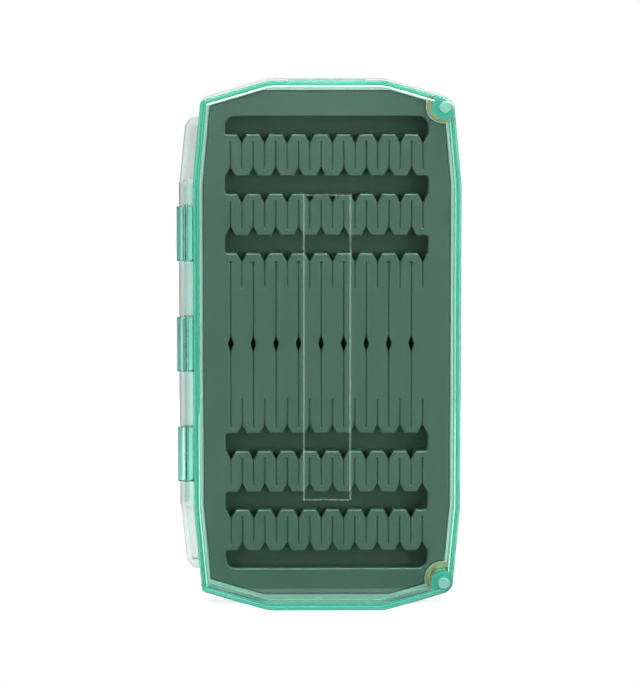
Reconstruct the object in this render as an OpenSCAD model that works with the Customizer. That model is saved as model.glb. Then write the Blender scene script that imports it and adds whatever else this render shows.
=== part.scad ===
// Slim pocket case for fishing flies, standing on its foot with its lid to the front.
// X runs across the case, with the hinge on the -X side. Y runs from front to back.
// Z runs up the long way. The origin is on the ground, in the middle of the foot's width
// and just behind the line where the lid meets the base.

/* [Case] */
// Width across the lid, without the hinge
case_w = 92; // [86:1:100]
// Height from the foot to the top
case_h = 183; // [180:1:200]
// Depth of the lid from its front face to its rim
lid_t = 13.3; // [11:0.1:18]
// Depth of the base from its rim to its back face
base_t = 12.6; // [11:0.1:16]
// Width of the flat foot and of the flat top
foot_w = 40; // [30:1:50]
// Rise of the two sloping edges from the foot to the corners
corner_rise = 6.8; // [4:0.1:10]
// How far each corner is drawn in from the full width
corner_draw = 2.7; // [1:0.1:4]
// Length of the straight middle of each side
side_len = 111; // [100:1:120]
// Radius of the two corners on the hinge side
hinge_corner_r = 2; // [1.6:0.1:3]
// Radius of the two corners that hold the magnets
magnet_corner_r = 4; // [3:0.1:5]
// Chamfer round the front and the back face
edge_chamfer = 0.9; // [0.4:0.1:1.4]

/* [Lid] */
// Thickness of the lid's walls and its front
lid_wall = 1.8; // [1.4:0.1:2.2]
// Width of the shallow bare panel on the lid's front
panel_w = 16.6; // [12:0.1:20]
// Height of the shallow bare panel on the lid's front
panel_h = 105.6; // [90:0.1:120]
// Depth of that panel
panel_deep = 0.25; // [0.1:0.05:0.5]
// Width of the finger flat in the lid's top edge
finger_w = 26.8; // [20:0.1:34]
// Depth of the finger flat
finger_deep = 0.4; // [0.2:0.1:0.8]

/* [Base] */
// Thickness of the base's side walls at the rim
base_wall = 3; // [2.4:0.1:3.2]
// Thickness of the base's back
back_wall = 1.8; // [1.4:0.1:2.4]
// Gap between the lid's rim and the base's rim when shut
rim_gap = 0.1; // [0.05:0.05:0.3]

/* [Hinge] */
// Distance of the hinge axis outside the lid's side
axis_out = 2.6; // [2.5:0.05:2.8]
// Outer radius of the lid's knuckles
knuckle_r = 3.2; // [3:0.1:3.4]
// Length of each lid knuckle
knuckle_len = 19; // [14:0.5:22]
// Distance from one lid knuckle's centre to the next
knuckle_step = 38.3; // [34:0.1:40]
// Outer radius of the base's knuckles
barrel_r = 2.4; // [2.2:0.05:2.4]
// Length of the row of knuckles
barrel_len = 112; // [104:1:112]
// Diameter of the steel hinge pin
pin_d = 1.5; // [1.2:0.1:1.6]
// Length of the hinge pin
pin_len = 110; // [100:1:110]
// Running clearance round the pin in the lid's knuckles
pin_play = 0.05; // [0.02:0.01:0.08]

/* [Hinge ledge] */
// Width of the ledge beside the lid, at its middle
ledge_w = 4.8; // [4.4:0.1:4.8]
// Depth of the ledge from the rim towards the back
ledge_t = 5.6; // [4.6:0.1:6.5]
// Length of the ledge at the case's side
ledge_len = 157; // [150:1:160]
// Width of the rim round each window of the ledge
window_rim = 2.1; // [1.8:0.1:2.3]
// Thickness of the web left behind each window
window_web = 1.2; // [0.8:0.1:1.6]
// How far the ledge is drawn in towards the case at its two ends
ledge_draw = 2; // [1:0.1:2.4]

/* [Magnets] */
// Diameter of each magnet
magnet_d = 4; // [3:0.1:4]
// Length of each magnet
magnet_len = 10; // [8:0.5:10.5]
// Distance of each magnet's centre from the case's middle line
magnet_x = 40.3; // [40:0.1:40.6]
// Distance of each magnet's centre above and below mid-height
magnet_z = 82.3; // [82:0.1:82.6]
// Radius of the lid's post round a magnet
lid_post_r = 4.5; // [4:0.1:4.6]

/* [Gasket] */
// Width of the gasket
gasket_w = 1; // [0.8:0.1:1]
// Distance of the gasket inside the case's outline
gasket_inset = 1.1; // [1.05:0.05:1.2]
// Depth of the gasket's groove
gasket_t = 1.4; // [1:0.1:2]
// Radius at which the gasket rounds each magnet
gasket_turn_r = 4.7; // [4.7:0.1:5.2]

/* [Insert] */
// Distance of the insert's edge inside the case's outline
insert_inset = 3.3; // [3.3:0.1:3.8]
// Height of the insert, which stops short of the outline at its two ends
insert_h = 175.2; // [172:0.1:176]
// Distance between two slits along an edge
pitch = 7.81; // [7:0.01:8]
// Number of slits along each edge, counted each side of the middle one
pitch_half_count = 4; // [2:1:4]
// Half width of the troughs
trough_half_w = 35.1; // [34:0.1:36]
// Height of each trough
trough_h = 6.3; // [5:0.1:6.4]
// Height of each row of teeth
row_h = 14.25; // [13:0.05:14.4]
// Half height of the section in the middle
middle_half_h = 31.3; // [28:0.1:31.5]
// Corner radius at the far side of the two outermost troughs
trough_r = 3.4; // [1:0.1:4]
// Depth of the troughs, notches and slits
trough_deep = 8.5; // [6:0.5:8.5]
// Depth of each notch into its row
notch_deep = 3; // [2:0.1:3.4]
// Half width of each notch at its mouth
notch_half_w = 1.7; // [1.2:0.1:1.9]
// Width of each slit
slit_w = 0.2; // [0.2:0.05:0.5]
// Distance from a row's edge to the end of the slits that start there
slit_reach = 11.8; // [9:0.1:12]
// Width of each diamond in the middle of a long slit
diamond_w = 2; // [1:0.1:3]
// Height of each diamond
diamond_h = 6; // [4:0.1:8]
// Thickness of the adhesive sheet under the insert
adhesive_t = 0.5; // [0.3:0.1:1]

/* [Hidden] */

// Half sizes and the levels of the faces, front to back
half_w = case_w / 2;
half_h = case_h / 2;
base_rim_y = -0.6;
back_y = base_rim_y + base_t;
lid_rim_y = base_rim_y - rim_gap;
front_y = lid_rim_y - lid_t;
lid_inner_y = front_y + lid_wall;
floor_y = back_y - back_wall;
insert_front_y = base_rim_y + 0.3;
insert_back_y = floor_y - adhesive_t;

// Hinge axis, parallel to Z
axis_x = -half_w - axis_out;
axis_y = (base_rim_y + lid_rim_y) / 2;
knuckle_levels = [-knuckle_step, 0, knuckle_step];
knuckle_gap_low = 0.25;
knuckle_gap_high = 0.75;
recess_r = knuckle_r + 0.25;
snug = 0.01;
end_stop = 1;

// Magnets and the gasket sit a hair inside their pockets
pocket_play = 0.05;
magnet_sunk = 0.2;
pocket_deep = magnet_len + 0.3;
base_post_r = gasket_turn_r + gasket_w + 0.4;
insert_gap = 0.2;
adhesive_margin = 1;

// Ledge: width at its tips, height of its bevels, its hidden root and the gap below each window
ledge_tip = 0.6;
ledge_bevel = 3;
ledge_root = half_w - corner_draw - base_wall;
window_gap = 1.2;

// Ends of the long slits, measured from the edges of the middle section
slit_top_gap = 3.2;
slit_foot_gap = 2.2;
eyelet_r = 0.45;

// Fineness of curves, and how far a cut runs past what it cuts
arc_steps = 6;
arc_fn = 64;
thin = 0.01;
over = 1;
overlap = 0.3;

// The case's outline, counter-clockwise from the foot's right end
case_points = [
    [foot_w / 2, -half_h],
    [half_w - corner_draw, -half_h + corner_rise],
    [half_w, -side_len / 2],
    [half_w, side_len / 2],
    [half_w - corner_draw, half_h - corner_rise],
    [foot_w / 2, half_h],
    [-foot_w / 2, half_h],
    [-half_w + corner_draw, half_h - corner_rise],
    [-half_w, side_len / 2],
    [-half_w, -side_len / 2],
    [-half_w + corner_draw, -half_h + corner_rise],
    [-foot_w / 2, -half_h]
];
bend_r = 12;
case_radii = [bend_r, magnet_corner_r, bend_r, bend_r, magnet_corner_r, bend_r,
              bend_r, hinge_corner_r, bend_r, bend_r, hinge_corner_r, bend_r];
least_r = 0.6;

function unit(v) = v / norm(v);
function inward(a, b) = [a.y - b.y, b.x - a.x] / norm(b - a);
function previous(points, i) = points[(i + len(points) - 1) % len(points)];
function next(points, i) = points[(i + 1) % len(points)];

// One corner moved in by d along both of its edges
function moved_in(p, n1, n2, d) = p + d * (n1 + n2) / (1 + n1 * n2);

// A whole outline moved in by d
function inset(points, d) = [
    for (i = [0:len(points) - 1])
        moved_in(points[i], inward(previous(points, i), points[i]),
                 inward(points[i], next(points, i)), d)
];

// The arc of radius r that rounds the corner at p, between edges along u and v
function arc(p, u, v, r) =
    let (half = acos(u * v) / 2,
         middle = p + unit(u + v) * r / sin(half),
         from = p + u * r / tan(half) - middle,
         to = p + v * r / tan(half) - middle,
         start = atan2(from.y, from.x),
         turn = atan2(from.x * to.y - from.y * to.x, from * to))
    [for (s = [0:arc_steps])
        middle + r * [cos(start + turn * s / arc_steps), sin(start + turn * s / arc_steps)]];

// An outline with every corner rounded
function rounded(points, radii) = [
    for (i = [0:len(points) - 1])
        each arc(points[i], unit(previous(points, i) - points[i]),
                 unit(next(points, i) - points[i]), radii[i])
];

function case_outline(d) = rounded(inset(case_points, d), [for (r = case_radii) max(r - d, least_r)]);

// Lifts a drawing of the case's face to mid-height and gives it the depth from front to back
module slab(front, back) {
    translate([0, back, half_h])
        rotate([90, 0, 0])
            linear_extrude(back - front)
                children();
}

// The filled outline, moved in by d
module outline(d) {
    polygon(case_outline(d));
}

// Round shapes about the two magnets' centres
module at_magnets() {
    for (side = [-1, 1])
        translate([magnet_x, side * magnet_z])
            children();
}

// A round bar along the hinge axis, from one level to another, measured from mid-height
module hinge_bar(r, low, high) {
    translate([axis_x, axis_y, half_h + low])
        cylinder(r = r, h = high - low, $fn = arc_fn);
}

// A block beside the hinge axis, from one level to another, measured from mid-height
module hinge_block(x_low, x_high, y_low, y_high, low, high) {
    translate([x_low, y_low, half_h + low])
        cube([x_high - x_low, y_high - y_low, high - low]);
}

// Outline of the hinge ledge on the base, running into the middle of the case's wall
module ledge_outline() {
    reach = half_w + ledge_w;
    end = ledge_len / 2;
    difference() {
        polygon([
            [-ledge_root, -end],
            [-half_w - ledge_tip, -end],
            [-reach + ledge_draw, -end + ledge_bevel],
            [-reach, -side_len / 2],
            [-reach, side_len / 2],
            [-reach + ledge_draw, end - ledge_bevel],
            [-half_w - ledge_tip, end],
            [-ledge_root, end]
        ]);
        outline(base_wall / 2);
    }
}

// The window of the ledge above the knuckles
module ledge_window() {
    reach = half_w + ledge_w;
    low = barrel_len / 2 + window_gap;
    high = ledge_len / 2 - ledge_bevel;
    polygon([
        [-ledge_root, low],
        [-reach + window_rim, low],
        [-reach + ledge_draw + window_rim, high],
        [-ledge_root, high]
    ]);
}

// Line of the gasket: the case's outline drawn in round the inside of both magnets
module seal_area(d, r) {
    difference() {
        outline(d);
        at_magnets() circle(r = r, $fn = arc_fn);
    }
}

module seal_ring(spread) {
    outer = gasket_inset - spread;
    inner = gasket_inset + gasket_w + spread;
    difference() {
        seal_area(outer, gasket_turn_r - spread);
        seal_area(inner, gasket_turn_r + gasket_w + spread);
    }
}

// The base's hollow, no higher than the insert needs
module base_hollow() {
    intersection() {
        outline(base_wall);
        square([case_w, insert_h + 2 * insert_gap], center = true);
    }
}

// Room in the base for one lid knuckle, through its whole swing
module knuckle_room(level) {
    low = level - knuckle_len / 2 - knuckle_gap_low;
    high = level + knuckle_len / 2 + knuckle_gap_high;
    hinge_bar(recess_r, low, high);
    hinge_block(axis_x - 2 * axis_out, axis_x, front_y, axis_y + recess_r, low, high);
}

module base_shell() {
    color([0.86, 0.9, 0.87, 0.8])
        difference() {
            union() {
                // Tray with its chamfered back edge
                difference() {
                    hull() {
                        slab(base_rim_y, back_y - edge_chamfer) outline(0);
                        slab(back_y - thin, back_y) outline(edge_chamfer);
                    }
                    slab(base_rim_y - over, floor_y) base_hollow();
                }
                // Posts for the two magnets
                slab(base_rim_y, floor_y + thin)
                    intersection() {
                        at_magnets() circle(r = base_post_r, $fn = arc_fn);
                        outline(base_wall / 2);
                    }
                // Ledge and knuckles on the hinge side
                difference() {
                    slab(base_rim_y, base_rim_y + ledge_t) ledge_outline();
                    slab(base_rim_y - over, base_rim_y + ledge_t - window_web) {
                        ledge_window();
                        mirror([0, 1]) ledge_window();
                    }
                }
                hinge_bar(barrel_r, -barrel_len / 2, barrel_len / 2);
            }
            for (level = knuckle_levels)
                knuckle_room(level);
            hinge_bar(pin_d / 2 + snug, -barrel_len / 2 + end_stop, barrel_len / 2 + over);
            slab(base_rim_y - over, base_rim_y + gasket_t) seal_ring(pocket_play);
            slab(base_rim_y - over, base_rim_y + pocket_deep)
                at_magnets() circle(d = magnet_d + 2 * pocket_play, $fn = arc_fn);
        }
}

module lid_shell() {
    color([0.45, 0.85, 0.7, 0.5])
        difference() {
            union() {
                // Tray with its chamfered front edge
                difference() {
                    hull() {
                        slab(front_y, front_y + thin) outline(edge_chamfer);
                        slab(front_y + edge_chamfer, lid_rim_y) outline(0);
                    }
                    slab(lid_inner_y, lid_rim_y + over) outline(lid_wall);
                }
                // Posts for the two magnets
                slab(lid_inner_y - thin, lid_rim_y)
                    intersection() {
                        at_magnets() circle(r = lid_post_r, $fn = arc_fn);
                        outline(lid_wall / 2);
                    }
                // Knuckles, each on a web from the lid's side
                for (level = knuckle_levels) {
                    low = level - knuckle_len / 2;
                    high = level + knuckle_len / 2;
                    hinge_bar(knuckle_r, low, high);
                    hinge_block(axis_x, -half_w + lid_wall / 2, axis_y - knuckle_r, lid_rim_y, low, high);
                }
            }
            hinge_bar(pin_d / 2 + pin_play, -barrel_len / 2, barrel_len / 2);
            slab(lid_rim_y - pocket_deep, lid_rim_y + over)
                at_magnets() circle(d = magnet_d + 2 * pocket_play, $fn = arc_fn);
            // Bare panel on the front, and the finger flat in the top edge
            slab(front_y - over, front_y + panel_deep) square([panel_w, panel_h], center = true);
            slab(front_y - over, lid_rim_y + over)
                translate([-finger_w / 2, half_h - finger_deep])
                    square([finger_w, finger_deep + over]);
        }
}

// A notch in the lower edge of a row, with its slit running up from it
module notch() {
    half = slit_w / 2;
    polygon([
        [-notch_half_w, -overlap],
        [notch_half_w, -overlap],
        [notch_half_w, 0],
        [half, notch_deep],
        [half, slit_reach],
        [-half, slit_reach],
        [-half, notch_deep],
        [-notch_half_w, 0]
    ]);
}

// Notches along both edges of a row, each edge's moved sideways by its own shift
module row_slits(low, high, low_shift, high_shift) {
    for (k = [-pitch_half_count:pitch_half_count]) {
        translate([k * pitch + low_shift, low]) notch();
        translate([k * pitch + high_shift, high]) mirror([0, 1]) notch();
    }
}

// Slits that run nearly the whole height of the middle section, each with a diamond and an eyelet
module long_slits(shift) {
    top = middle_half_h - slit_top_gap;
    bottom = -middle_half_h + slit_foot_gap;
    half = slit_w / 2;
    for (k = [-pitch_half_count:pitch_half_count])
        translate([k * pitch + shift, 0]) {
            translate([-half, bottom]) square([slit_w, top - bottom]);
            polygon([
                [-diamond_w / 2, 0], [0, -diamond_h / 2],
                [diamond_w / 2, 0], [0, diamond_h / 2]
            ]);
            translate([0, top]) circle(r = eyelet_r, $fn = 8);
        }
}

// A trough of the upper half, with rounded upper corners where r is more than nothing
module trough(low, high, r) {
    w = trough_half_w;
    if (r > 0)
        polygon(concat([[-w, low], [w, low]], arc([w, high], [0, -1], [-1, 0], r),
                       arc([-w, high], [1, 0], [0, -1], r)));
    else
        translate([-w, low]) square([2 * w, high - low]);
}

// Troughs and rows of teeth above the middle section
module half_cuts(shift) {
    step = trough_h + row_h;
    for (n = [0:2])
        trough(middle_half_h + n * step, middle_half_h + n * step + trough_h, n == 2 ? trough_r : 0);
    for (n = [0:1])
        row_slits(middle_half_h + trough_h + n * step, middle_half_h + (n + 1) * step, -shift, shift);
}

// Every cut of the insert's face
module insert_cuts() {
    shift = pitch / 4;
    half_cuts(shift);
    mirror([0, 1]) half_cuts(shift);
    row_slits(-middle_half_h, middle_half_h, shift, shift);
    long_slits(-shift);
}

module silicone_insert() {
    color([0.36, 0.44, 0.42])
        difference() {
            slab(insert_front_y, insert_back_y)
                difference() {
                    intersection() {
                        outline(insert_inset);
                        square([case_w, insert_h], center = true);
                    }
                    at_magnets() circle(r = base_post_r + insert_gap, $fn = arc_fn);
                }
            slab(insert_front_y - over, insert_front_y + trough_deep) insert_cuts();
        }
}

module insert_adhesive() {
    color([0.8, 0.6, 0.3])
        slab(insert_back_y, floor_y)
            difference() {
                outline(insert_inset + adhesive_margin);
                at_magnets() circle(r = base_post_r + adhesive_margin, $fn = arc_fn);
            }
}

module gasket() {
    color([0.85, 0.55, 0.15])
        slab(lid_rim_y + pocket_play, base_rim_y + gasket_t - pocket_play) seal_ring(0);
}

module hinge_pin() {
    color([0.7, 0.7, 0.72])
        hinge_bar(pin_d / 2, -barrel_len / 2 + end_stop, -barrel_len / 2 + end_stop + pin_len);
}

// One magnet; it lies just under the rim of its post
module magnet(side, front) {
    color([0.78, 0.79, 0.8])
        slab(front, front + magnet_len)
            translate([magnet_x, side * magnet_z])
                circle(d = magnet_d, $fn = arc_fn);
}

base_shell();
lid_shell();
silicone_insert();
insert_adhesive();
gasket();
hinge_pin();
magnet(1, base_rim_y + magnet_sunk);  // base_magnet_upper
magnet(-1, base_rim_y + magnet_sunk);  // base_magnet_lower
magnet(1, lid_rim_y - magnet_sunk - magnet_len);  // lid_magnet_upper
magnet(-1, lid_rim_y - magnet_sunk - magnet_len);  // lid_magnet_lower
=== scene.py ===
# Slim pocket case for fishing flies, standing on its foot with the clear lid to the front.
# Everything is in metres in the CAD frame: X across with the hinge on the -X side,
# Y from front to back, Z up. Sizes below are in millimetres and scaled by MM.

import math

import bmesh
import bpy
from mathutils import Matrix, Vector


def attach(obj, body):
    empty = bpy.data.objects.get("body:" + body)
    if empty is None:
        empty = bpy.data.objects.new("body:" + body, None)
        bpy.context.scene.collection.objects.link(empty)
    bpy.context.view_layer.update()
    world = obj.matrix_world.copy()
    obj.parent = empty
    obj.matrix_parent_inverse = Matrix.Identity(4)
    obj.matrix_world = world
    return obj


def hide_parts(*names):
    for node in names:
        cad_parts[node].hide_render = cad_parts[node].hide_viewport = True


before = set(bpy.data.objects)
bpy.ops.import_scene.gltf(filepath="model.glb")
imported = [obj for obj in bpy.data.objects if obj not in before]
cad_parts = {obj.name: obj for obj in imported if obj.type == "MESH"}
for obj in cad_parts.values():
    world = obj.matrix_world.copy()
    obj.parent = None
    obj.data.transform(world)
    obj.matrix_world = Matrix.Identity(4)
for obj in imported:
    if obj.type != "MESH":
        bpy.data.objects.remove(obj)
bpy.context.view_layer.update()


# ---- Milky base tray ------------------------------------------------------------------
# The half of the case that holds the flies: one moulding in milky, half-clear plastic,
# with a ledge down its left side that carries the hinge knuckles between two windows.
MM = 0.001
MID_HEIGHT = 91.5
CASE_CORNERS = [
    (20, -91.5), (43.3, -84.7), (46, -55.5), (46, 55.5), (43.3, 84.7), (20, 91.5),
    (-20, 91.5), (-43.3, 84.7), (-46, 55.5), (-46, -55.5), (-43.3, -84.7), (-20, -91.5),
]
END_CORNER_X, END_CORNER_Z = 35, 70     # the four tight corners lie further out than both
BEND_R = 12
MAGNET_CORNER_R = 4
HINGE_CORNER_R = 2
SMALLEST_R = 0.6
BASE_RIM = -0.6
BASE_BACK = 12.0
BASE_FLOOR = 10.2
BASE_WALL = 3.0
BACK_ROUNDING = 0.9
FLOOR_ROUNDING = 0.5
MAGNET_SPOTS = [(40.3, 82.3), (40.3, -82.3)]
HINGE_X, HINGE_Y = -48.6, -0.65
FARTHEST_X = 50                         # beyond the case's long sides
PAST = 1                                # how far a cutting solid runs past what it cuts


def flat_shape(points, y, into=None):
    """A face across the case at depth y, its corners given as (x, height above mid-height)."""
    shape = into or bmesh.new()
    shape.faces.new([shape.verts.new((x * MM, y * MM, (z + MID_HEIGHT) * MM))
                     for x, z in points])
    return shape


def thickened(shape, depth):
    """Draws every face of a flat shape back by depth into a closed solid."""
    drawn = bmesh.ops.extrude_face_region(shape, geom=shape.faces[:])
    moved = [part for part in drawn["geom"] if isinstance(part, bmesh.types.BMVert)]
    bmesh.ops.translate(shape, vec=(0, depth * MM, 0), verts=moved)
    bmesh.ops.recalc_face_normals(shape, faces=shape.faces[:])
    return shape


def rounded_corners(shape, radius_at):
    """Rounds the corners of a flat shape, each by the radius that radius_at gives for it."""
    slides = []
    for corner in shape.verts:
        radius = radius_at(corner.co.x / MM, corner.co.z / MM - MID_HEIGHT)
        if radius:
            a, b = [edge.other_vert(corner).co - corner.co for edge in corner.link_edges]
            slides.append((corner, radius * MM / math.tan(a.angle(b) / 2)))
    for corner, slide in slides:
        bmesh.ops.bevel(shape, geom=[corner], offset=slide, offset_type="OFFSET", segments=6,
                        profile=0.5, affect="VERTICES", material=-1)
    return shape


def case_plate(inset, front, back):
    """A slab of the case's outline, moved in by inset."""
    plate = flat_shape(CASE_CORNERS, front)
    plate.normal_update()
    if inset:
        ring = bmesh.ops.inset_region(plate, faces=plate.faces[:], thickness=inset * MM,
                                      use_boundary=True, use_even_offset=True)
        bmesh.ops.delete(plate, geom=ring["faces"], context="FACES")

    def radius_at(x, z):
        if abs(x) < END_CORNER_X or abs(z) < END_CORNER_Z:
            return max(BEND_R - inset, SMALLEST_R)
        return max((MAGNET_CORNER_R if x > 0 else HINGE_CORNER_R) - inset, SMALLEST_R)

    return thickened(rounded_corners(plate, radius_at), back - front)


def round_bar(radius, x, y, low, high, into=None, segments=48):
    """An upright bar, its ends given from mid-height."""
    bar = into or bmesh.new()
    middle = Matrix.Translation(Vector((x, y, MID_HEIGHT + (low + high) / 2)) * MM)
    bmesh.ops.create_cone(bar, cap_ends=True, segments=segments, radius1=radius * MM,
                          radius2=radius * MM, depth=(high - low) * MM, matrix=middle)
    return bar


def magnet_bars(radius, front, back, spots=MAGNET_SPOTS, segments=48):
    """Bars that run from front to back at the magnets."""
    bars = bmesh.new()
    for x, z in spots:
        middle = Matrix.Translation(Vector((x, (front + back) / 2, MID_HEIGHT + z)) * MM)
        lying = middle @ Matrix.Rotation(math.pi / 2, 4, "X")
        bmesh.ops.create_cone(bars, cap_ends=True, segments=segments, radius1=radius * MM,
                              radius2=radius * MM, depth=(back - front) * MM, matrix=lying)
    return bars


def block(x_low, x_high, y_low, y_high, low, high, into=None):
    """A block, its lower and upper ends given from mid-height."""
    cube = into or bmesh.new()
    size = Vector((x_high - x_low, y_high - y_low, high - low)) * MM
    middle = Vector((x_low + x_high, y_low + y_high, low + high + 2 * MID_HEIGHT)) / 2 * MM
    bmesh.ops.create_cube(cube, size=1,
                          matrix=Matrix.Translation(middle) @ Matrix.Diagonal(size).to_4x4())
    return cube


MERGE_WITHIN = 0.005
FLAT_WITHIN = math.radians(0.5)


def carved(body, *steps):
    """Joins, cuts or trims a solid with other solids, in order, and gives back one solid."""
    loose = []
    for number, solid in enumerate([body] + [tool for _, tool in steps]):
        mesh = bpy.data.meshes.new("carving_%d" % number)
        solid.to_mesh(mesh)
        solid.free()
        loose.append(bpy.data.objects.new(mesh.name, mesh))
        bpy.context.scene.collection.objects.link(loose[-1])
    for (kind, _), tool in zip(steps, loose[1:]):
        step = loose[0].modifiers.new(kind, "BOOLEAN")
        step.operation = kind
        step.solver = "EXACT"
        step.object = tool
    result = bmesh.new()
    result.from_object(loose[0], bpy.context.evaluated_depsgraph_get())
    for part in loose:
        mesh = part.data
        bpy.data.objects.remove(part)
        bpy.data.meshes.remove(mesh)
    bmesh.ops.remove_doubles(result, verts=result.verts, dist=MERGE_WITHIN * MM)
    bmesh.ops.dissolve_limit(result, angle_limit=FLAT_WITHIN, verts=result.verts,
                             edges=result.edges)
    bmesh.ops.delete(result, geom=[edge for edge in result.edges if not edge.link_faces],
                     context="EDGES")
    return result


def softened(solid, width, chosen=lambda edge: True, segments=2, sharper_than=40):
    """Rounds the outer edges that chosen picks, if they are sharper than so many degrees."""
    picked = [edge for edge in solid.edges if edge.is_convex and chosen(edge)
              and edge.calc_face_angle(0) > math.radians(sharper_than)]
    bmesh.ops.bevel(solid, geom=picked, offset=width * MM, offset_type="OFFSET",
                    segments=segments, profile=0.5, affect="EDGES", material=-1)
    return solid


SAME_PLACE = 0.01


def level_with(y):
    """Picks the edges that lie at the depth y."""
    return lambda edge: all(abs(v.co.y - y * MM) < SAME_PLACE * MM for v in edge.verts)


def placed(name, solid, material, body, node, sharp=38):
    """Makes a finished piece of a solid, which rides on a body and stands for a CAD node."""
    mesh = bpy.data.meshes.new(name)
    solid.to_mesh(mesh)
    solid.free()
    mesh.shade_smooth()
    mesh.set_sharp_from_angle(angle=math.radians(sharp))
    mesh.materials.append(material)
    piece = bpy.data.objects.new(name, mesh)
    bpy.context.scene.collection.objects.link(piece)
    piece.modifiers.new("flat_faces_stay_flat", "WEIGHTED_NORMAL").keep_sharp = True
    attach(piece, body)
    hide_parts(node)


# Tray, rounded round its back, and hollowed from the front round both magnet posts
POST_R = 6.1
POST_SEGMENTS = 64
HOLLOW_HALF_H = 87.8
tray = softened(case_plate(0, BASE_RIM, BASE_BACK), BACK_ROUNDING, level_with(BASE_BACK),
                segments=4)
hollow = carved(
    case_plate(BASE_WALL, BASE_RIM - PAST, BASE_FLOOR),
    ("INTERSECT", block(-FARTHEST_X, FARTHEST_X, BASE_RIM - 2 * PAST, BASE_FLOOR + PAST,
                        -HOLLOW_HALF_H, HOLLOW_HALF_H)))
hollow = carved(
    softened(hollow, FLOOR_ROUNDING, level_with(BASE_FLOOR), segments=3),
    ("DIFFERENCE", magnet_bars(POST_R, BASE_RIM - 2 * PAST, BASE_FLOOR + PAST,
                               segments=POST_SEGMENTS)))

# Ledge with its rounded outer edge and the two windows, each closed by a thin web behind
LEDGE_BACK = 5.0
LEDGE_ROOT = -41.8
LEDGE_ROUNDING = 1.2
HALF_LEDGE = [(-50.8, 55.5), (-48.8, 75.5), (-46.6, 78.5), (LEDGE_ROOT, 78.5)]
HALF_WINDOW = [(LEDGE_ROOT, 57.2), (-48.7, 57.2), (-46.7, 75.5), (LEDGE_ROOT, 75.5)]
WINDOW_WEB = 1.2
ledge = flat_shape([(x, -z) for x, z in reversed(HALF_LEDGE)] + HALF_LEDGE, BASE_RIM)
ledge = softened(thickened(ledge, LEDGE_BACK - BASE_RIM), LEDGE_ROUNDING,
                 lambda edge: all(v.co.x < (LEDGE_ROOT - SAME_PLACE) * MM for v in edge.verts),
                 segments=5)
openings = bmesh.new()
for side in (1, -1):
    flat_shape([(x, side * z) for x, z in HALF_WINDOW], BASE_RIM - PAST, openings)
windows = carved(thickened(openings, LEDGE_BACK - WINDOW_WEB - BASE_RIM + PAST),
                 ("DIFFERENCE", case_plate(0, BASE_RIM - 3 * PAST, LEDGE_BACK + 3 * PAST)))

# Room for the lid's knuckles, which turn with a gap below and above
KNUCKLE_LEVELS = [-38.3, 0, 38.3]
KNUCKLE_LEN = 19
GAP_BELOW, GAP_ABOVE = 0.25, 0.75
SWING_R = 3.45
SLOT_FRONT, SLOT_REACH = -14, 5.2
rooms = bmesh.new()
slots = bmesh.new()
for level in KNUCKLE_LEVELS:
    low, high = level - KNUCKLE_LEN / 2 - GAP_BELOW, level + KNUCKLE_LEN / 2 + GAP_ABOVE
    round_bar(SWING_R, HINGE_X, HINGE_Y, low, high, rooms)
    block(HINGE_X - SLOT_REACH, HINGE_X, SLOT_FRONT, HINGE_Y + SWING_R, low, high, slots)
rooms = carved(rooms, ("UNION", slots))

# Groove for the gasket, which keeps a width of 1 mm along the walls and round the magnets
SEAL_OUTER, SEAL_INNER = 1.1, 2.1
SEAL_TURN_OUTER, SEAL_TURN_INNER = 4.7, 5.7
SEAL_DEEP = 1.4
SEAL_GAP = 0.05


def seal_area(inset, turn_r, front, back):
    """The case's outline moved in by inset and drawn in round the magnets."""
    return carved(case_plate(inset, front, back),
                  ("DIFFERENCE", magnet_bars(turn_r, front - PAST, back + PAST, segments=96)))


def seal_ring(spread, front, back):
    """The line of the gasket, widened by spread on both sides."""
    return carved(seal_area(SEAL_OUTER - spread, SEAL_TURN_OUTER - spread, front, back),
                  ("DIFFERENCE", seal_area(SEAL_INNER + spread, SEAL_TURN_INNER + spread,
                                           front - PAST, back + PAST)))


# The tray put together, with the bore for the pin and the pockets for the magnets
BARREL_R, BARREL_HALF_H = 2.4, 56
BORE_R, BORE_FOOT = 0.76, -55
POCKET_R, POCKET_DEEP = 2.05, 10.3
base = carved(
    tray,
    ("UNION", ledge),
    ("DIFFERENCE", windows),
    ("DIFFERENCE", hollow),
    ("UNION", round_bar(BARREL_R, HINGE_X, HINGE_Y, -BARREL_HALF_H, BARREL_HALF_H)),
    ("DIFFERENCE", rooms),
    ("DIFFERENCE", round_bar(BORE_R, HINGE_X, HINGE_Y, BORE_FOOT, BARREL_HALF_H + PAST)),
    ("DIFFERENCE", seal_ring(SEAL_GAP, BASE_RIM - PAST, BASE_RIM + SEAL_DEEP)),
    ("DIFFERENCE", magnet_bars(POCKET_R, BASE_RIM - PAST, BASE_RIM + POCKET_DEEP)),
)

# Sockets of a Mix node for colours, which have no names of their own
MIX_BY, MIX_A, MIX_B, MIX_RESULT = 0, 6, 7, 2
GRAIN_IN_RELIEF = 0.25      # how deep the grain is against the waves


def connected(tree, node, sockets):
    """Gives sockets of a node a plain value each, or the output that feeds them."""
    for socket, value in sockets.items():
        if isinstance(value, bpy.types.NodeSocket):
            tree.links.new(value, node.inputs[socket])
        else:
            node.inputs[socket].default_value = value


def added(tree, kind, sockets=None, **settings):
    """A new node in a tree, with its settings and its sockets."""
    node = tree.nodes.new(kind)
    for setting, value in settings.items():
        setattr(node, setting, value)
    connected(tree, node, sockets or {})
    return node


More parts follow.
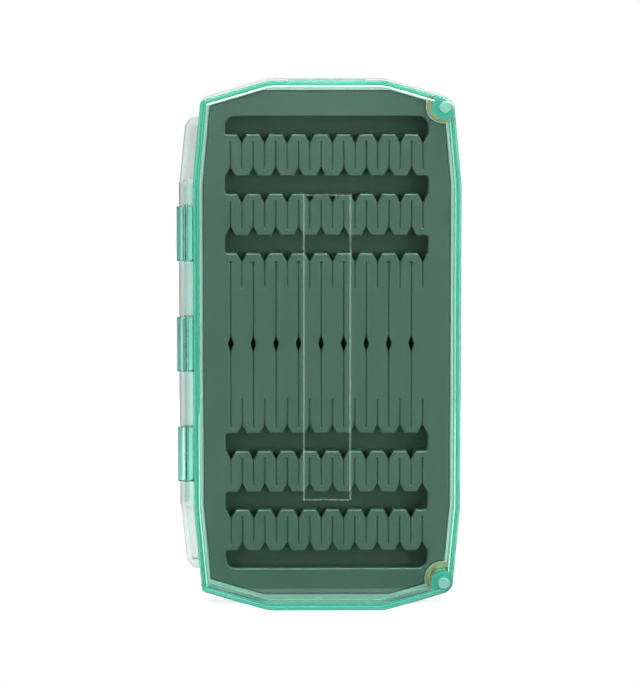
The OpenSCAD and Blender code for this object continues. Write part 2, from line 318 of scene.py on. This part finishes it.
def surface_group(name):
    """Node group for a moulded surface: uneven gloss, faint waves, a slight drift in shade."""
    group = bpy.data.node_groups.new(name, "ShaderNodeTree")
    for label, kind, default in [("Grain size", "NodeSocketFloat", 900),
                                 ("Gloss low", "NodeSocketFloat", 0.1),
                                 ("Gloss high", "NodeSocketFloat", 0.3),
                                 ("Dark", "NodeSocketColor", (1, 1, 1, 1)),
                                 ("Light", "NodeSocketColor", (1, 1, 1, 1))]:
        socket = group.interface.new_socket(label, in_out="INPUT", socket_type=kind)
        socket.default_value = default
    for label, kind in [("Color", "NodeSocketColor"), ("Roughness", "NodeSocketFloat"),
                        ("Height", "NodeSocketFloat")]:
        group.interface.new_socket(label, in_out="OUTPUT", socket_type=kind)
    given = added(group, "NodeGroupInput").outputs
    place = added(group, "ShaderNodeTexCoord").outputs["Object"]
    drift, grain, waves = [
        added(group, "ShaderNodeTexNoise",
              {"Vector": place, "Scale": scale, "Detail": detail}).outputs["Fac"]
        for scale, detail in ((28, 3), (given["Grain size"], 5), (55, 2))]
    shade = added(group, "ShaderNodeMix",
                  {MIX_BY: drift, MIX_A: given["Dark"], MIX_B: given["Light"]},
                  data_type="RGBA")
    gloss = added(group, "ShaderNodeMapRange",
                  {"Value": grain, "From Min": 0.3, "From Max": 0.7,
                   "To Min": given["Gloss low"], "To Max": given["Gloss high"]})
    relief = added(group, "ShaderNodeMath", {0: grain, 1: GRAIN_IN_RELIEF, 2: waves},
                   operation="MULTIPLY_ADD")
    added(group, "NodeGroupOutput",
          {"Color": shade.outputs[MIX_RESULT], "Roughness": gloss.outputs["Result"],
           "Height": relief.outputs["Value"]})
    return group


moulded_surface = surface_group("moulded_surface")


def bare_material(name):
    """A new material, with its node tree and its shader."""
    material = bpy.data.materials.new(name)
    material.use_nodes = True
    return material, material.node_tree, material.node_tree.nodes["Principled BSDF"]


def finish_of(name, dark, light, grain, gloss, bump, **sockets):
    """A material on the moulded surface; sockets are the shader's own plain values."""
    material, tree, shader = bare_material(name)
    surface = added(tree, "ShaderNodeGroup",
                    {"Grain size": grain, "Gloss low": gloss[0], "Gloss high": gloss[1],
                     "Dark": (*dark, 1), "Light": (*light, 1)}, node_tree=moulded_surface)
    raised = added(tree, "ShaderNodeBump", {"Strength": bump, "Distance": 0.3 * MM,
                                            "Height": surface.outputs["Height"]})
    connected(tree, shader, {"Base Color": surface.outputs["Color"],
                             "Roughness": surface.outputs["Roughness"],
                             "Normal": raised.outputs["Normal"]})
    connected(tree, shader, {socket.replace("_", " "): value
                             for socket, value in sockets.items()})
    return material


def filled(material, absorbed, density):
    """Lets the inside of a piece take light away by its depth."""
    tree = material.node_tree
    depth = added(tree, "ShaderNodeVolumeAbsorption",
                  {"Color": (*absorbed, 1), "Density": density})
    connected(tree, tree.nodes["Material Output"], {"Volume": depth.outputs["Volume"]})


milky = finish_of("milky_plastic", dark=(0.93, 0.955, 0.935), light=(0.965, 0.98, 0.97),
                  grain=700, gloss=(0.3, 0.42), bump=0.15,
                  Transmission_Weight=0.72, IOR=1.49)
filled(milky, absorbed=(0.5, 0.6, 0.52), density=130)
placed("base_tray", base, milky, "base", "base_shell")


# ---- Magnets in the base --------------------------------------------------------------
# Two small nickel-plated rods, pushed into the base's corner posts just below the rim.
# They pull on the pair in the lid and hold the case shut.
MAGNET_R = 2.0
MAGNET_LEN = 10.0
MAGNET_SUNK = 0.2
MAGNET_ROUNDING = 0.25
END_SHARPER_THAN = 60       # picks the round ends of a bar, not the facets along it
DULL_PART = 0.8             # of the metal's colour, at its darkest marks


def metal(name, colour, gloss, drawn):
    """Polished metal with fine marks, drawn out along the scales given for X, Y and Z."""
    material, tree, shader = bare_material(name)
    place = added(tree, "ShaderNodeTexCoord").outputs["Object"]
    spread = added(tree, "ShaderNodeMapping", {"Vector": place, "Scale": drawn})
    marks = added(tree, "ShaderNodeTexNoise", {"Vector": spread.outputs["Vector"],
                                               "Scale": 1, "Detail": 4}).outputs["Fac"]
    dull = [part * DULL_PART for part in colour]
    tone = added(tree, "ShaderNodeMix", {MIX_BY: marks, MIX_A: (*dull, 1),
                                         MIX_B: (*colour, 1)}, data_type="RGBA")
    rough = added(tree, "ShaderNodeMapRange", {"Value": marks, "To Min": gloss[0],
                                               "To Max": gloss[1]})
    raised = added(tree, "ShaderNodeBump", {"Height": marks, "Strength": 0.1,
                                            "Distance": 0.1 * MM})
    connected(tree, shader, {"Base Color": tone.outputs[MIX_RESULT],
                             "Roughness": rough.outputs["Result"],
                             "Normal": raised.outputs["Normal"], "Metallic": 1})
    return material


nickel = metal("nickel_plate", colour=(0.8, 0.79, 0.77), gloss=(0.45, 0.6),
               drawn=(900, 900, 900))


def magnet(name, spot, front, body, node):
    """One magnet, its front end at the depth given."""
    rod = softened(magnet_bars(MAGNET_R, front, front + MAGNET_LEN, [spot]), MAGNET_ROUNDING,
                   segments=3, sharper_than=END_SHARPER_THAN)
    placed(name, rod, nickel, body, node)


for spot, corner in zip(MAGNET_SPOTS, ("upper", "lower")):
    magnet("magnet_base_" + corner, spot, BASE_RIM + MAGNET_SUNK, "base",
           "base_magnet_" + corner)


# ---- Adhesive sheet -------------------------------------------------------------------
# Thin double-sided film between the insert and the tray's floor, cut a little smaller
# than the insert. The CAD sheet has the right shape and only takes its finish here.
film = finish_of("adhesive_film", dark=(0.72, 0.6, 0.38), light=(0.8, 0.7, 0.48),
                 grain=1500, gloss=(0.5, 0.7), bump=0.2)
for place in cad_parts["insert_adhesive"].material_slots:
    place.material = film


# ---- Silicone insert ------------------------------------------------------------------
# Soft grey silicone slab that grips the hooks: six troughs, rows of rounded teeth parted
# by slits, and long slits with a diamond each. Moulded in one, glued to the tray's floor.
INSERT_FRONT = BASE_RIM + 0.3
INSERT_BACK = 9.7
INSERT_INSET = 3.3
INSERT_HALF_H = 87.6
INSERT_POST_GAP = 0.2
INSERT_LIP = 0.35
AHEAD_OF_RIM = -2
TROUGH_DEEP = 8.5
TROUGH_HALF_W = 35.1
TROUGH_H = 6.3
OUTER_R = 3.4               # corners of the two end troughs, on the side of the case's end
INNER_R = 1.1
ROW_H = 14.25
MIDDLE_HALF_H = 31.3
PITCH = 7.81
SHIFT = PITCH / 4
STEPS = range(-4, 5)
SLIT_HALF_W = 0.07
NOTCH = [(-1.7, -0.3), (1.7, -0.3), (1.7, 0), (SLIT_HALF_W, 3), (SLIT_HALF_W, 11.8),
         (-SLIT_HALF_W, 11.8), (-SLIT_HALF_W, 3), (-1.7, 0)]
LONG_SLIT_TOP = MIDDLE_HALF_H - 3.2
LONG_SLIT_FOOT = -MIDDLE_HALF_H + 2.2
EYELET = 0.4
EYELET_NECK = 0.3
DIAMOND_HALF_W, DIAMOND_HALF_H = 1, 3

slab = carved(
    case_plate(INSERT_INSET, INSERT_FRONT, INSERT_BACK),
    ("INTERSECT", block(-FARTHEST_X, FARTHEST_X, AHEAD_OF_RIM, BASE_BACK,
                        -INSERT_HALF_H, INSERT_HALF_H)),
    ("DIFFERENCE", magnet_bars(POST_R + INSERT_POST_GAP, AHEAD_OF_RIM, BASE_BACK,
                               segments=POST_SEGMENTS)))
cut_from = INSERT_FRONT - PAST


def trough_shape(half, low, at_end):
    """One trough of the upper (1) or lower (-1) half, low being its edge nearer the middle."""
    high = low + TROUGH_H

    def radius_at(x, z):
        if at_end and half * z > high - SAME_PLACE:
            return OUTER_R
        return INNER_R if (half * z < low + SAME_PLACE) == (x < 0) else 0

    return rounded_corners(
        flat_shape([(-TROUGH_HALF_W, half * low), (TROUGH_HALF_W, half * low),
                    (TROUGH_HALF_W, half * high), (-TROUGH_HALF_W, half * high)], cut_from),
        radius_at)


def gathered(whole, part):
    """Puts one shape in with others."""
    mesh = bpy.data.meshes.new("gathering")
    part.to_mesh(mesh)
    part.free()
    whole.from_mesh(mesh)
    bpy.data.meshes.remove(mesh)


troughs = bmesh.new()
notches = bmesh.new()
for half in (1, -1):
    for number in range(3):
        low = MIDDLE_HALF_H + number * (TROUGH_H + ROW_H)
        gathered(troughs, trough_shape(half, low, at_end=number == 2))
    for number in range(2):
        low = MIDDLE_HALF_H + TROUGH_H + number * (TROUGH_H + ROW_H)
        for step in STEPS:
            for edge, turn, shift in ((low, 1, -SHIFT), (low + ROW_H, -1, SHIFT)):
                flat_shape([(step * PITCH + shift + x, half * (edge + turn * z))
                            for x, z in NOTCH], cut_from, notches)
    for step in STEPS:
        flat_shape([(step * PITCH + SHIFT + x, half * (MIDDLE_HALF_H - z)) for x, z in NOTCH],
                   cut_from, notches)
slits = bmesh.new()
diamonds = bmesh.new()
for step in STEPS:
    x = step * PITCH - SHIFT
    flat_shape([(x - SLIT_HALF_W, LONG_SLIT_FOOT), (x + SLIT_HALF_W, LONG_SLIT_FOOT),
                (x + SLIT_HALF_W, LONG_SLIT_TOP - EYELET_NECK), (x + EYELET, LONG_SLIT_TOP),
                (x, LONG_SLIT_TOP + EYELET), (x - EYELET, LONG_SLIT_TOP),
                (x - SLIT_HALF_W, LONG_SLIT_TOP - EYELET_NECK)], cut_from, slits)
    flat_shape([(x - DIAMOND_HALF_W, 0), (x, -DIAMOND_HALF_H), (x + DIAMOND_HALF_W, 0),
                (x, DIAMOND_HALF_H)], cut_from, diamonds)
insert = carved(slab, *[("DIFFERENCE", thickened(cuts, TROUGH_DEEP + PAST))
                        for cuts in (troughs, notches, slits, diamonds)])
insert = softened(insert, INSERT_LIP, level_with(INSERT_FRONT), segments=1, sharper_than=50)
silicone = finish_of("grey_silicone", dark=(0.098, 0.101, 0.087), light=(0.117, 0.119, 0.103),
                     grain=1400, gloss=(0.28, 0.42), bump=0.25, Specular_IOR_Level=0.6,
                     Subsurface_Weight=0.15, Subsurface_Scale=0.002)
placed("fly_insert", insert, silicone, "base", "silicone_insert")


# ---- Gasket ---------------------------------------------------------------------------
# Thin amber silicone ring, pushed into the groove in the base's rim. It follows the outline
# and turns in round both magnet posts. Away from the magnets, where the lid's wall lies over
# it, its colour is painted greyer: this is painted shade from the wall, not a colour of the
# ring.
GASKET_ROUNDING = 0.3
# Painted shade: the ring stays amber within AMBER_WITHIN of a magnet and is painted grey-green
# from GREY_FROM on
AMBER_WITHIN, GREY_FROM = 5.9, 6.6      # from the nearest magnet
amber = finish_of("amber_silicone", dark=(0.54, 0.24, 0.09), light=(0.6, 0.28, 0.12),
                  grain=1500, gloss=(0.25, 0.4), bump=0.1,
                  Subsurface_Weight=0.4, Subsurface_Scale=0.001)


def combined(tree, operation, *values):
    """One Math node over values that are each an output or a plain number."""
    node = added(tree, "ShaderNodeMath", dict(enumerate(values)), operation=operation)
    return node.outputs["Value"]


def fed_by(shader, socket):
    """The output that feeds a socket so far."""
    return shader.inputs[socket].links[0].from_socket


tree = amber.node_tree
shader = tree.nodes["Principled BSDF"]
here = added(tree, "ShaderNodeTexCoord").outputs["Object"]
reaches = [added(tree, "ShaderNodeVectorMath",
                 {0: here, 1: Vector((x, 0, MID_HEIGHT + z)) * MM},
                 operation="DISTANCE").outputs["Value"] for x, z in MAGNET_SPOTS]
fade = added(tree, "ShaderNodeMapRange", {"Value": combined(tree, "MINIMUM", *reaches),
                                          "From Min": AMBER_WITHIN * MM,
                                          "From Max": GREY_FROM * MM})
# Painted shade: mixes the amber towards grey-green where the lid's wall lies over the ring
painted_shade_under_wall = added(tree, "ShaderNodeMix",
                {MIX_BY: fade.outputs["Result"], MIX_A: fed_by(shader, "Base Color"),
                 MIX_B: (0.4, 0.5, 0.38, 1)}, data_type="RGBA")
connected(tree, shader, {"Base Color": painted_shade_under_wall.outputs[MIX_RESULT]})
gasket = softened(seal_ring(0, BASE_RIM - SEAL_GAP, BASE_RIM + SEAL_DEEP - SEAL_GAP),
                  GASKET_ROUNDING, segments=3, sharper_than=END_SHARPER_THAN)
placed("rim_gasket", gasket, amber, "base", "gasket")


# ---- Hinge pin ------------------------------------------------------------------------
# One thin drawn steel wire, pushed in from the top through all the knuckles. It shows in
# the small gap above each of the lid's knuckles.
PIN_R, PIN_HALF_H = 0.75, 55
PIN_ROUNDING = 0.2
steel = metal("drawn_steel", colour=(0.36, 0.37, 0.38), gloss=(0.18, 0.32),
              drawn=(1500, 1500, 40))
pin = softened(round_bar(PIN_R, HINGE_X, HINGE_Y, -PIN_HALF_H, PIN_HALF_H, segments=32),
               PIN_ROUNDING, sharper_than=END_SHARPER_THAN)
placed("steel_hinge_pin", pin, steel, "base", "hinge_pin")


# ---- Clear lid ------------------------------------------------------------------------
# The half of the case that swings: one moulding in clear mint-green plastic with three
# knuckles, two magnet posts, a bare panel with a fine outline and a finger flat on top.
LID_FRONT = -14.0
LID_INNER = -12.2
LID_RIM = -0.7
LID_WALL = 1.8
LID_POST_R = 4.5
LID_ROUNDING = 0.9
LID_RIM_ROUNDING = 0.12
LID_INNER_ROUNDING = 0.5
LAST_ROUNDING = 0.22
KNUCKLE_R, KNUCKLE_ROUNDING = 3.2, 0.25
WEB_END, WEB_UNDER_RIM = -45.3, 0.2
LID_BORE_R = 0.8
FLAT_HALF_W, FLAT_LEVEL, OVER_TOP = 13.4, 91.1, 93

shell = softened(case_plate(0, LID_FRONT, LID_RIM), LID_ROUNDING, level_with(LID_FRONT),
                 segments=4)
shell = softened(shell, LID_RIM_ROUNDING, level_with(LID_RIM))
lid_hollow = carved(
    softened(case_plate(LID_WALL, LID_INNER, LID_RIM + PAST), LID_INNER_ROUNDING,
             level_with(LID_INNER), segments=3),
    ("DIFFERENCE", magnet_bars(LID_POST_R, LID_INNER - PAST, LID_RIM + 2 * PAST,
                               segments=POST_SEGMENTS)))
knuckles = bmesh.new()
webs = bmesh.new()
for level in KNUCKLE_LEVELS:
    low, high = level - KNUCKLE_LEN / 2, level + KNUCKLE_LEN / 2
    round_bar(KNUCKLE_R, HINGE_X, HINGE_Y, low, high, knuckles, segments=64)
    block(HINGE_X, WEB_END, HINGE_Y - KNUCKLE_R, LID_RIM - WEB_UNDER_RIM, low, high, webs)
softened(knuckles, KNUCKLE_ROUNDING, segments=4, sharper_than=END_SHARPER_THAN)

# Outline of the bare panel: a fine V groove whose flanks catch the lamps. What cuts it is
# a ring bridged between three frames, one along the bottom of the V and two before the lid
PANEL_HALF_W, PANEL_HALF_H = 8.3, 52.8
FLANK_W, FLANK_H, LINE_DEEP = 0.36, 0.22, 0.18
AHEAD = 2 * LINE_DEEP       # of the lid's front, where the V is three flanks wide each way
panel_line = bmesh.new()
for flanks, ahead in ((0, -LINE_DEEP), (3, AHEAD), (-3, AHEAD)):
    half_w = PANEL_HALF_W - FLANK_W * (1 - flanks)
    half_h = PANEL_HALF_H - FLANK_H * (1 - flanks)
    flat_shape([(-half_w, -half_h), (half_w, -half_h), (half_w, half_h), (-half_w, half_h)],
               LID_FRONT - ahead, panel_line)
bmesh.ops.delete(panel_line, geom=panel_line.faces[:], context="FACES_ONLY")
bmesh.ops.bridge_loops(panel_line, edges=panel_line.edges[:], use_cyclic=True)
bmesh.ops.recalc_face_normals(panel_line, faces=panel_line.faces[:])

lid = carved(
    shell,
    ("DIFFERENCE", lid_hollow),
    ("UNION", webs),
    ("UNION", knuckles),
    ("DIFFERENCE", round_bar(LID_BORE_R, HINGE_X, HINGE_Y, -BARREL_HALF_H, BARREL_HALF_H)),
    ("DIFFERENCE", magnet_bars(POCKET_R, LID_RIM - POCKET_DEEP, LID_RIM + PAST)),
    ("DIFFERENCE", panel_line),
    ("DIFFERENCE", block(-FLAT_HALF_W, FLAT_HALF_W, LID_FRONT - PAST, LID_RIM + PAST,
                         FLAT_LEVEL, OVER_TOP)),
)
lid = softened(lid, LAST_ROUNDING, level_with(LID_FRONT), segments=4)

# Clear plastic that takes its colour from its own depth and lets the lamps in
mint = finish_of("mint_clear_plastic", dark=(0.78, 0.94, 0.86), light=(0.82, 0.96, 0.88),
                 grain=600, gloss=(0.0, 0.04), bump=0.008, Transmission_Weight=1.0, IOR=1.5)
filled(mint, absorbed=(0.05, 0.89, 0.82), density=100)
tree = mint.node_tree
shader = tree.nodes["Principled BSDF"]
choice = added(tree, "ShaderNodeMixShader",
               {0: added(tree, "ShaderNodeLightPath").outputs["Is Shadow Ray"],
                1: shader.outputs["BSDF"],
                2: added(tree, "ShaderNodeBsdfTransparent").outputs["BSDF"]})
connected(tree, tree.nodes["Material Output"], {"Surface": choice.outputs["Shader"]})

# The finger flat is matt: a box round it, in X and in height above the ground
MATT_HALF_W, MATT_LOW, MATT_HIGH = 13.5, 182.2, 183.2
MATT_ROUGHNESS = 0.7
here = added(tree, "ShaderNodeTexCoord").outputs["Object"]
axes = added(tree, "ShaderNodeSeparateXYZ", {"Vector": here}).outputs
inside = [combined(tree, "COMPARE", axes[axis], (low + high) / 2 * MM, (high - low) / 2 * MM)
          for axis, low, high in (("X", -MATT_HALF_W, MATT_HALF_W),
                                  ("Z", MATT_LOW, MATT_HIGH))]
rougher = added(tree, "ShaderNodeMix", {"Factor": combined(tree, "MULTIPLY", *inside),
                                        "A": fed_by(shader, "Roughness"),
                                        "B": MATT_ROUGHNESS})
connected(tree, shader, {"Roughness": rougher.outputs["Result"]})
placed("clear_lid", lid, mint, "lid", "lid_shell", sharp=25)
for spot, corner in zip(MAGNET_SPOTS, ("upper", "lower")):
    magnet("magnet_lid_" + corner, spot, LID_RIM - MAGNET_SUNK - MAGNET_LEN, "lid",
           "lid_magnet_" + corner)


# ---- Studio ---------------------------------------------------------------------------
# Pale floor in an all-white room, three soft lamps and the camera. Near the case the floor
# carries painted shade, seen only in gloss and through the lid. The room is dark only round
# the camera, where the flat front of the lid would mirror it.
FLOOR_R = 0.6
FLOOR_FRONT = -0.06
FLOOR_BELOW = 0.1
NEAR_CASE, FAR_FROM_CASE = 0.03, 0.1    # metres from the foot's middle
GLOW_SEEN, GLOW_MIRRORED = 0.6, 0.4


def seen_directly(tree):
    """1 for what the camera sees, and 1 for what shows in gloss and through glass."""
    ray = added(tree, "ShaderNodeLightPath").outputs
    return (ray["Is Camera Ray"],
            combined(tree, "MAXIMUM", ray["Is Glossy Ray"], ray["Is Transmission Ray"]))


floor_white, tree, shader = bare_material("floor_white")
camera_ray, mirrored_ray = seen_directly(tree)
# Painted shade: in gloss and through the lid, the floor near the case is painted darker (0.3
# against 0.86) and glows less, fading out between NEAR_CASE and FAR_FROM_CASE
ground = added(tree, "ShaderNodeTexCoord").outputs["Object"]
reach = added(tree, "ShaderNodeVectorMath", {0: ground}, operation="LENGTH")
around = added(tree, "ShaderNodeMapRange",
               {"Value": reach.outputs["Value"], "From Min": NEAR_CASE,
                "From Max": FAR_FROM_CASE}, interpolation_type="SMOOTHSTEP").outputs["Result"]
glow = combined(tree, "ADD", combined(tree, "MULTIPLY", camera_ray, GLOW_SEEN),
                combined(tree, "MULTIPLY", combined(tree, "MULTIPLY", mirrored_ray, around),
                         GLOW_MIRRORED))
near = combined(tree, "SUBTRACT", 1, around)
floor_with_painted_shade = added(tree, "ShaderNodeMix",
              {MIX_BY: combined(tree, "MULTIPLY", near, mirrored_ray),
               MIX_A: (0.86, 0.86, 0.86, 1), MIX_B: (0.3, 0.3, 0.3, 1)}, data_type="RGBA")
connected(tree, shader, {"Base Color": floor_with_painted_shade.outputs[MIX_RESULT], "Roughness": 1,
                         "Specular IOR Level": 0, "Emission Color": (1, 1, 1, 1),
                         "Emission Strength": glow})
floor_mesh = bpy.data.meshes.new("studio_floor")
floor_shape = bmesh.new()
bmesh.ops.create_circle(floor_shape, cap_ends=True, segments=96, radius=FLOOR_R)
bmesh.ops.bisect_plane(
    floor_shape, geom=floor_shape.verts[:] + floor_shape.edges[:] + floor_shape.faces[:],
    plane_co=(0, FLOOR_FRONT, 0), plane_no=(0, -1, 0), clear_outer=True)
bmesh.ops.translate(floor_shape, vec=(0, 0, -FLOOR_BELOW * MM), verts=floor_shape.verts)
floor_shape.to_mesh(floor_mesh)
floor_shape.free()
floor_mesh.materials.append(floor_white)
floor = bpy.data.objects.new("studio_floor", floor_mesh)
bpy.context.scene.collection.objects.link(floor)

# White room: dark round the line of sight, and darker to the left in what the lid mirrors
SIGHT_DOWN, DARK_WITHIN, WHITE_FROM = math.radians(6), math.radians(9), math.radians(24)
LEFT_SHADE = 0.3
FILL = 0.25
room = bpy.data.worlds.new("white_room")
room.use_nodes = True
tree = room.node_tree
way = added(tree, "ShaderNodeTexCoord").outputs["Generated"]
towards = added(tree, "ShaderNodeVectorMath",
                {0: way, 1: (0, -math.cos(SIGHT_DOWN), -math.sin(SIGHT_DOWN))},
                operation="DOT_PRODUCT")
clear_of_sight = added(tree, "ShaderNodeMapRange",
                       {"Value": towards.outputs["Value"], "From Min": math.cos(DARK_WITHIN),
                        "From Max": math.cos(WHITE_FROM)}, interpolation_type="SMOOTHSTEP")
sideways = added(tree, "ShaderNodeSeparateXYZ", {"Vector": way}).outputs["X"]
shade = added(tree, "ShaderNodeMapRange", {"Value": sideways, "From Min": -0.6,
                                           "From Max": -0.05, "To Min": LEFT_SHADE})
camera_ray, mirrored_ray = seen_directly(tree)
mirrored = combined(tree, "MULTIPLY", mirrored_ray,
                    combined(tree, "MULTIPLY", clear_of_sight.outputs["Result"],
                             shade.outputs["Result"]))
white = combined(tree, "MAXIMUM", camera_ray, mirrored)
fill = combined(tree, "MAXIMUM", combined(tree, "SUBTRACT", 1, mirrored_ray), 0)
connected(tree, tree.nodes["Background"],
          {"Color": (1, 1, 1, 1),
           "Strength": combined(tree, "MAXIMUM", white,
                                combined(tree, "MULTIPLY", fill, FILL))})
bpy.context.scene.world = room

LAMPS_AIM = Vector((0, 0, 0.09))
for name, place, size, power in [("lamp_above", (0.0, -0.5, 2.3), (1.9, 1.5), 68.0),
                                 ("lamp_left", (-1.0, -0.8, 0.3), (0.8, 1.2), 5.8),
                                 ("lamp_right", (1.0, -0.8, 0.3), (0.8, 1.2), 9.8)]:
    lamp = bpy.data.lights.new(name, "AREA")
    lamp.shape = "RECTANGLE"
    lamp.size, lamp.size_y = size
    lamp.energy = power
    holder = bpy.data.objects.new(name, lamp)
    holder.location = place
    holder.rotation_euler = (LAMPS_AIM - Vector(place)).to_track_quat("-Z", "Y").to_euler()
    bpy.context.scene.collection.objects.link(holder)

bpy.context.scene.view_settings.view_transform = "Standard"

camera = bpy.data.cameras.new("camera")
camera.lens = 213.6
camera.sensor_width = 36
camera.clip_start, camera.clip_end = 0.05, 20
viewer = bpy.data.objects.new("camera", camera)
bpy.context.scene.collection.objects.link(viewer)
viewer.location = (-0.0232, -1.4, 0.2403)
viewer.rotation_euler = (math.radians(83.947), 0, math.radians(-0.856))
bpy.context.scene.camera = viewer
